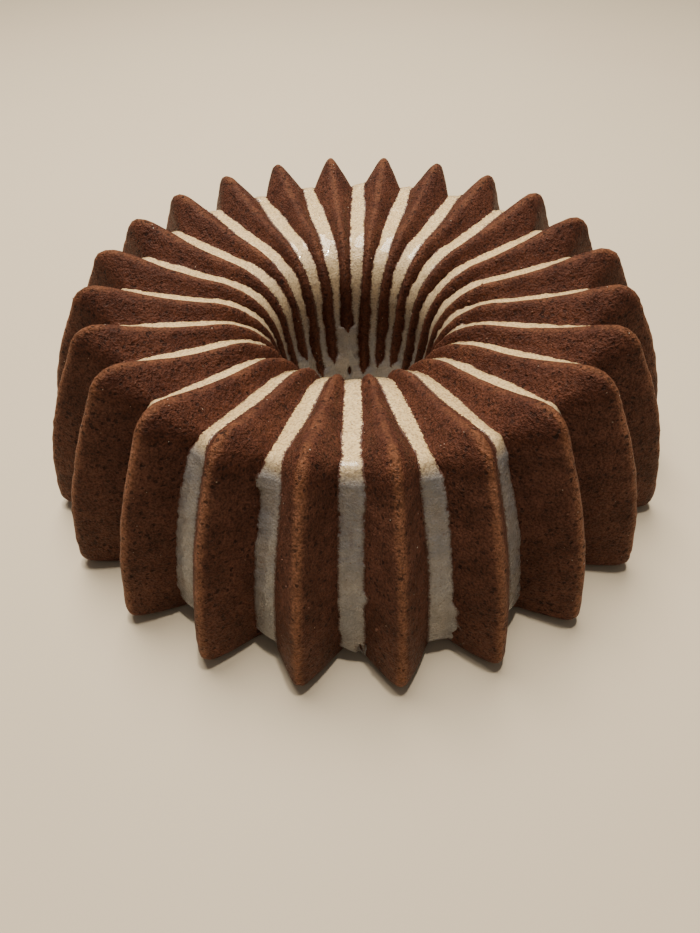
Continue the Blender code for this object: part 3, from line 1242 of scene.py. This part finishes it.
@dataclass(frozen=True)
class Studio:
    """A pale floor, soft lights and the camera."""

    lens: float = 24.12
    pitch: float = 48.264
    roll: float = -1.114
    yaw: float = -1.999
    camera_place: tuple[float, float, float] = (4.2 * MM, -203.3 * MM, 195.0 * MM)
    floor_colour: Colour = (0.68, 0.58, 0.43, 1.0)
    floor_shade: Colour = (0.65, 0.55, 0.40, 1.0)

    def build(self) -> None:
        """Sets the whole studio up."""
        self.floor()
        self.surround()
        self.lamp("overhead", (-0.15, 0.45, 1.10), 0.70, 24.0)
        self.lamp("glint", (0.05, 0.10, 1.00), 0.05, 5.0)
        self.camera()

    def floor(self) -> None:
        """A wide pale floor under the cake."""
        reach = 4.0
        corners = np.array([[-reach, -reach, 0.0], [reach, -reach, 0.0], [reach, reach, 0.0], [-reach, reach, 0.0]])
        mesh = bpy.data.meshes.new("floor")
        mesh.from_pydata(corners.tolist(), [], [(0, 1, 2, 3)])
        material = bpy.data.materials.new("floor")
        material.use_nodes = True
        shader = material.node_tree.nodes["Principled BSDF"]
        wiring = Wiring(material.node_tree)
        cloudy = wiring.noise(wiring.place(), 6.0, 2.0)
        wiring.feed(shader.inputs["Base Color"], wiring.blend(cloudy, self.floor_colour, self.floor_shade))
        shader.inputs["Roughness"].default_value = 0.7
        mesh.materials.append(material)
        floor = bpy.data.objects.new("floor", mesh)
        bpy.context.scene.collection.objects.link(floor)

    def surround(self) -> None:
        """A dim even light from all round."""
        world = bpy.data.worlds.new("surround")
        bpy.context.scene.world = world
        world.use_nodes = True
        background = world.node_tree.nodes["Background"]
        background.inputs["Color"].default_value = (1.0, 0.96, 0.90, 1.0)
        background.inputs["Strength"].default_value = 0.165

    def lamp(self, name: str, place: tuple[float, float, float], size: float, power: float) -> None:
        """A round lamp that faces the cake.

        Args:
            name: the lamp's name.
            place: where it hangs.
            size: its diameter.
            power: its power in watts.
        """
        lamp = bpy.data.lights.new(name, "AREA")
        lamp.shape = "DISK"
        lamp.size = size
        lamp.energy = power
        lamp.color = (1.0, 0.92, 0.80)
        hung = bpy.data.objects.new(name, lamp)
        hung.location = place
        hung.rotation_euler = Vector(place).to_track_quat("Z", "Y").to_euler()
        bpy.context.scene.collection.objects.link(hung)

    def camera(self) -> None:
        """The camera, turned by its yaw about the upright, then pitched down and rolled.

        Its forward direction has the yaw's sine and cosine times the pitch's cosine, and minus the
        pitch's sine upwards.
        """
        pitch, roll, yaw = (math.radians(angle) for angle in (self.pitch, self.roll, self.yaw))
        forward = np.array(
            [math.sin(yaw) * math.cos(pitch), math.cos(yaw) * math.cos(pitch), -math.sin(pitch)]
        )
        level_right = np.array([math.cos(yaw), -math.sin(yaw), 0.0])
        level_up = np.cross(level_right, forward)
        right = math.cos(roll) * level_right + math.sin(roll) * level_up
        up = -math.sin(roll) * level_right + math.cos(roll) * level_up
        turned = np.eye(4)
        turned[:3, 0], turned[:3, 1], turned[:3, 2] = right, up, -forward
        turned[:3, 3] = self.camera_place
        data = bpy.data.cameras.new("camera")
        data.lens = self.lens
        camera = bpy.data.objects.new("camera", data)
        camera.matrix_world = Matrix(turned.tolist())
        bpy.context.scene.collection.objects.link(camera)
        bpy.context.scene.camera = camera


# ----------------------------------------------------------------------------- this cake


def glaze_streams() -> dict[int, Stream]:
    """The streams by groove, counted counter-clockwise from the front, most of them alike."""
    chance = np.random.default_rng(7)
    streams = {}
    for groove in range(FIN_COUNT):
        end_height, slant = chance.uniform(1.0, 9.0) * MM, chance.uniform(-1.5, 1.5) * MM
        aside = -(0.15 + 0.75 * math.sin(2.0 * HALF_PITCH * groove)) * MM
        thin = chance.uniform(0.15, 0.55)
        swellings = tuple(
            Swelling(
                side,
                chance.uniform(4.0, 55.0) * MM,
                chance.uniform(-0.9, 1.5) * MM,
                chance.uniform(2.0, 6.0) * MM,
            )
            for side in (Side.LEFT, Side.RIGHT, Side.LEFT, Side.RIGHT)
        )
        streams[groove] = Stream(
            end_height, slant=slant, ragged=0.8 * MM, thin=thin, aside_top=aside, swellings=swellings
        )
    streams[0] = Stream(
        1.4 * MM,
        slant=3.2 * MM,
        ragged=1.1 * MM,
        thin=0.35,
        aside_top=0.3 * MM,
        aside_wall=0.4 * MM,
        swellings=(Swelling(Side.RIGHT, 26.0 * MM, 1.1 * MM, 2.0 * MM),),
    )
    streams[1] = Stream(
        2.4 * MM,
        slant=0.9 * MM,
        ragged=0.4 * MM,
        aside_top=-0.9 * MM,
        swellings=(
            Swelling(Side.RIGHT, 17.0 * MM, 1.1 * MM, 2.4 * MM),
            Swelling(Side.RIGHT, 6.0 * MM, 3.2 * MM, 6.6 * MM),
        ),
    )
    streams[2] = Stream(6.5 * MM, slant=0.8 * MM, aside_top=-1.3 * MM, aside_wall=-1.6 * MM)
    streams[3] = Stream(
        5.5 * MM,
        slant=-0.5 * MM,
        aside_top=-0.7 * MM,
        aside_wall=-0.9 * MM,
        swellings=(Swelling(Side.RIGHT, 34.0 * MM, -1.6 * MM, 26.0 * MM),),
    )
    streams[12] = Stream(4.0 * MM, aside_top=-0.5 * MM)
    streams[21] = Stream(5.0 * MM, girth=0.85, aside_top=0.5 * MM)
    streams[22] = Stream(4.5 * MM, slant=1.8 * MM, aside_top=1.2 * MM, aside_wall=0.3 * MM)
    streams[23] = Stream(
        4.4 * MM,
        slant=1.0 * MM,
        ragged=0.5 * MM,
        aside_top=1.0 * MM,
        aside_wall=1.1 * MM,
        swellings=(Swelling(Side.LEFT, 57.5 * MM, 1.0 * MM, 3.2 * MM),),
    )
    return streams


def glaze_joins() -> dict[int, float]:
    """The run in the hole below which the streams on both sides of each ridge are one."""
    chance = np.random.default_rng(5)
    joins = {ridge: chance.uniform(6.0, 13.0) * MM for ridge in range(FIN_COUNT)}
    joins.update({9: 12.0 * MM, 10: 9.0 * MM, 11: 4.5 * MM, 12: 24.0 * MM, 13: 11.0 * MM, 14: 6.0 * MM, 15: 18.0 * MM})
    return joins


def glaze_drips() -> tuple[Drip, ...]:
    """The thin tongues beside the front streams."""
    return (
        Drip(0, 4.3 * MM, 8.0 * MM, 0.6 * MM, 0.6 * MM),
        Drip(23, 4.2 * MM, 5.0 * MM, 1.6 * MM, 1.1 * MM, 0.3 * MM),
    )


def glaze_dents(form: FlutedForm) -> tuple[Dent, ...]:
    """The burst bubbles: one low in the hole, and one by the ends of two front streams."""
    return (
        Dent(run=5.5 * MM, turn=24.9, length=1.6 * MM, width=0.22, depth=3.0 * MM),
        Dent(run=form.wall_run(6.2 * MM), turn=2.42, length=0.9 * MM, width=0.06, depth=3.5 * MM),
        Dent(run=form.wall_run(4.0 * MM), turn=0.22, length=2.4 * MM, width=0.035, depth=3.5 * MM),
    )


def scatter_grains(cake: bpy.types.Object, glaze: bpy.types.Object, form: FlutedForm) -> None:
    """Crumbs and sugar on the crust, and flecks in the glaze.

    Crumbs keep to the upper and outer crust. Flecks keep to where the glaze is more than 0.8 mm from its edge.
    """
    points, normals = read_points(cake), surface_normals(cake)
    run = np.empty(len(points), dtype=np.float32)
    cake.data.attributes["run"].data.foreach_get("value", run)
    shown = ((run * MM > form.corner_runs[0]) & (points[:, 2] > 1.5 * MM)).astype(float)
    crumbs = GrainFinish("crumb", (0.15, 0.055, 0.025, 1.0), (0.06, 0.02, 0.01, 1.0))
    Grains("crumbs", 420, 0.35 * MM, 1.3 * MM, 0.05, 71).build(points, normals, crumbs, shown)
    sugar = GrainFinish("sugar", (0.72, 0.62, 0.50, 1.0), (0.55, 0.42, 0.30, 1.0), 0.35)
    Grains("sugar_grains", 260, 0.22 * MM, 0.6 * MM, 0.15, 72).build(points, normals, sugar, shown)
    points, normals = read_points(glaze), surface_normals(glaze)
    depth = np.empty(len(points), dtype=np.float32)
    glaze.data.attributes["edge"].data.foreach_get("value", depth)
    flecks = GrainFinish("fleck", (0.20, 0.11, 0.06, 1.0), (0.07, 0.03, 0.015, 1.0))
    inside = (depth > 0.8).astype(float)
    Grains("glaze_flecks", 1500, 0.18 * MM, 0.55 * MM, 0.28, 73).build(points, normals, flecks, inside)


def main() -> None:
    """Builds the cake, its glaze and the studio, and notes the sizes."""
    logging.basicConfig(level=logging.INFO, format="%(name)s: %(message)s")
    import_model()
    low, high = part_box(CAKE_NODE)
    nominal = CREST.points()[:, 0].max() * math.cos(HALF_PITCH)
    scale = float(high[0] - low[0]) / (2 * nominal)
    form = FlutedForm(CREST, GROOVE, scale)
    LOG.info("scale %.4f, run %.1f mm", scale, form.length / MM)
    cake = Cake(form).build()
    glaze = Glaze(form, glaze_streams(), glaze_joins(), glaze_drips(), glaze_dents(form)).build()
    scatter_grains(cake, glaze, form)
    Studio().build()


if __name__ == "__main__":
    main()
